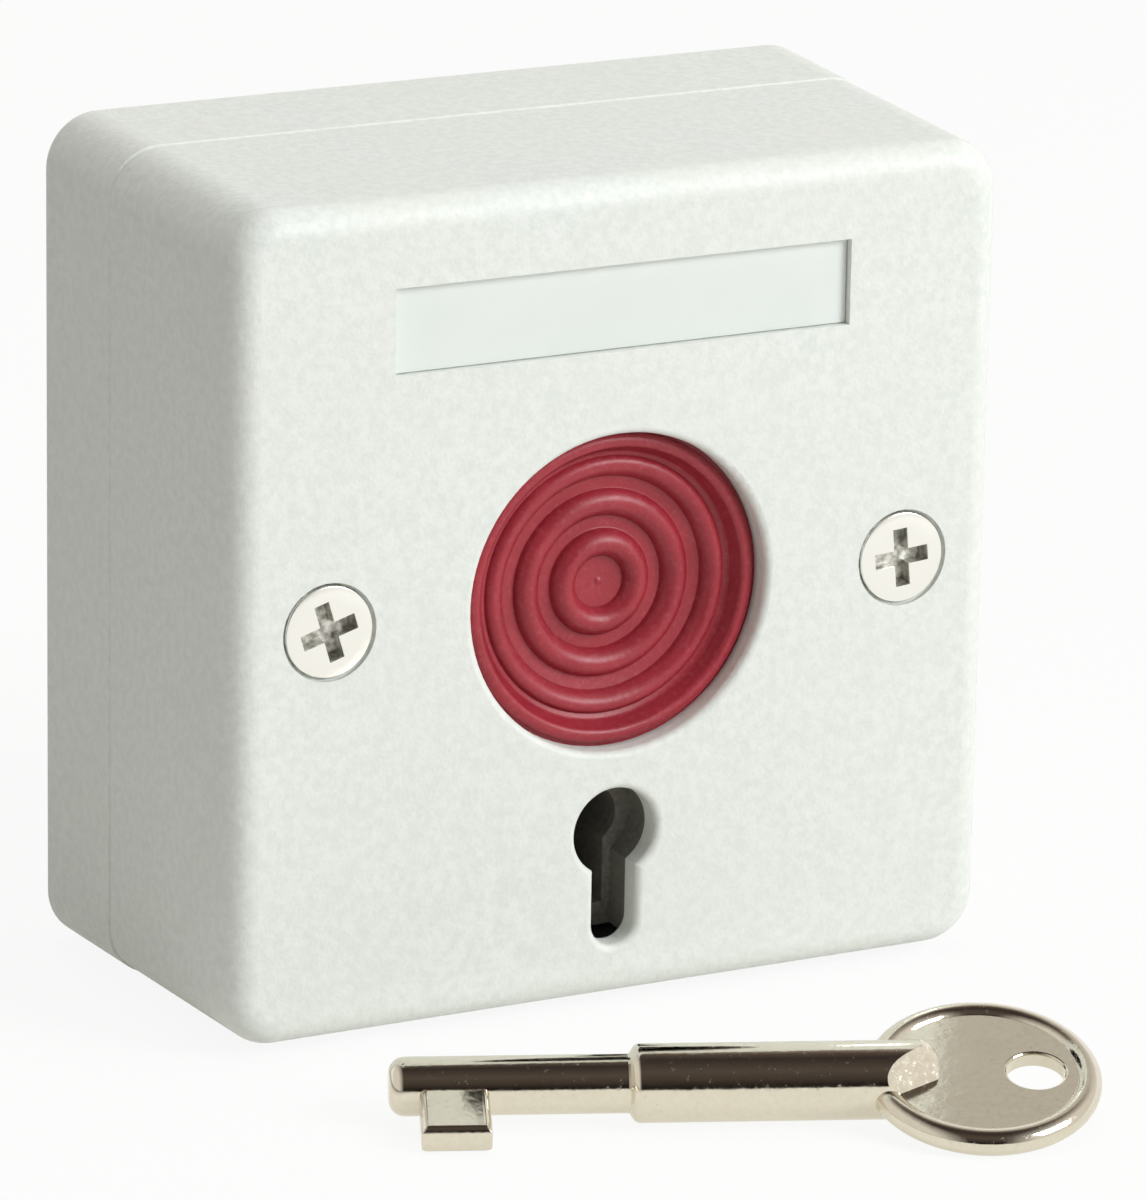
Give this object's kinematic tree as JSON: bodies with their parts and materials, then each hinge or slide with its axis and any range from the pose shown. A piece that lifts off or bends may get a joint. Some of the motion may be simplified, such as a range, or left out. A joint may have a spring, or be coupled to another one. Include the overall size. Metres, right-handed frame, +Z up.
{
  "type": "keyed alarm button",
  "caption": "Square wall box with a dished push button, a keyhole below it and a loose reset key; pressing latches the button, the key releases it.",
  "frame": {"origin": "centre of the back face, which lies on the wall", "axes": "+X right seen from the front, +Y into the wall, +Z up; the front face looks along -Y"},
  "size_m": [0.0822, 0.0912, 0.0822],
  "materials": {
    "pale_plastic": "fine pebbled moulding texture",
    "label_film": "smooth satin film",
    "red_plastic": "satin moulded",
    "black_plastic": "matt moulded",
    "grey_plastic": "matt moulded",
    "spring_steel": "drawn wire and sheet",
    "zinc_steel": "bright zinc plate",
    "bright_steel": "bright nickel plate",
    "tinned_brass": "tinned",
    "brass": "knurled, turned",
    "nickel": "nickel plate over a casting, lightly polished"
  },
  "bodies": {
    "housing": {"front_cover": "pale_plastic", "rear_box": "pale_plastic", "label_strip": "label_film", "mechanism_frame": "black_plastic", "frame_screws": "zinc_steel", "lock_housing": "grey_plastic", "lock_screws": "zinc_steel", "switch_body": "black_plastic", "switch_pin": "spring_steel", "switch_terminals": "tinned_brass", "switch_screws": "zinc_steel", "face_screw_left": "bright_steel", "face_screw_right": "bright_steel", "insert_left": "brass", "insert_right": "brass", "button_spring": "spring_steel", "latch_spring": "spring_steel", "reset_key": "nickel"},
    "button": {"button_cap": "red_plastic", "button_stem": "black_plastic"},
    "rotor": {"lock_rotor": "zinc_steel", "lock_clip": "spring_steel"},
    "latch": {"latch_slider": "zinc_steel"},
    "plunger": {"switch_plunger": "red_plastic"},
    "lever": {"switch_lever": "spring_steel"}
  },
  "joints": [
    {"name": "button_press", "type": "slide", "parent": "housing", "child": "button", "axis": [0, 1, 0], "range_m": [0, 0.004], "stiffness_N_per_m": 1500, "springref_m": -0.002, "deforming": ["button_spring"]},
    {"name": "lock_turn", "type": "hinge", "parent": "housing", "child": "rotor", "pos_m": [0, -0.02, -0.0235], "axis": [0, 1, 0], "range_deg": [0, 90], "stiffness_Nm_per_rad": 0.01, "springref_deg": -28.65},
    {"name": "latch_slide", "type": "slide", "parent": "housing", "child": "latch", "axis": [0, 0, -1], "range_m": [0, 0.0014], "deforming": ["latch_spring"]},
    {"name": "switch_plunger_slide", "type": "slide", "parent": "housing", "child": "plunger", "axis": [0, 1, 0], "range_m": [0, 0.00148]},
    {"name": "switch_lever_turn", "type": "hinge", "parent": "housing", "child": "lever", "pos_m": [0, -0.028, 0.0266], "axis": [1, 0, 0], "range_deg": [0, 18.15]}
  ],
  "couplings": [
    {"joint": "latch_slide", "follows": "lock_turn", "m_per_rad": 0.0008849},
    {"joint": "switch_plunger_slide", "follows": "button_press", "ratio": 0.37},
    {"joint": "switch_lever_turn", "follows": "button_press", "rad_per_m": 79}
  ]
}
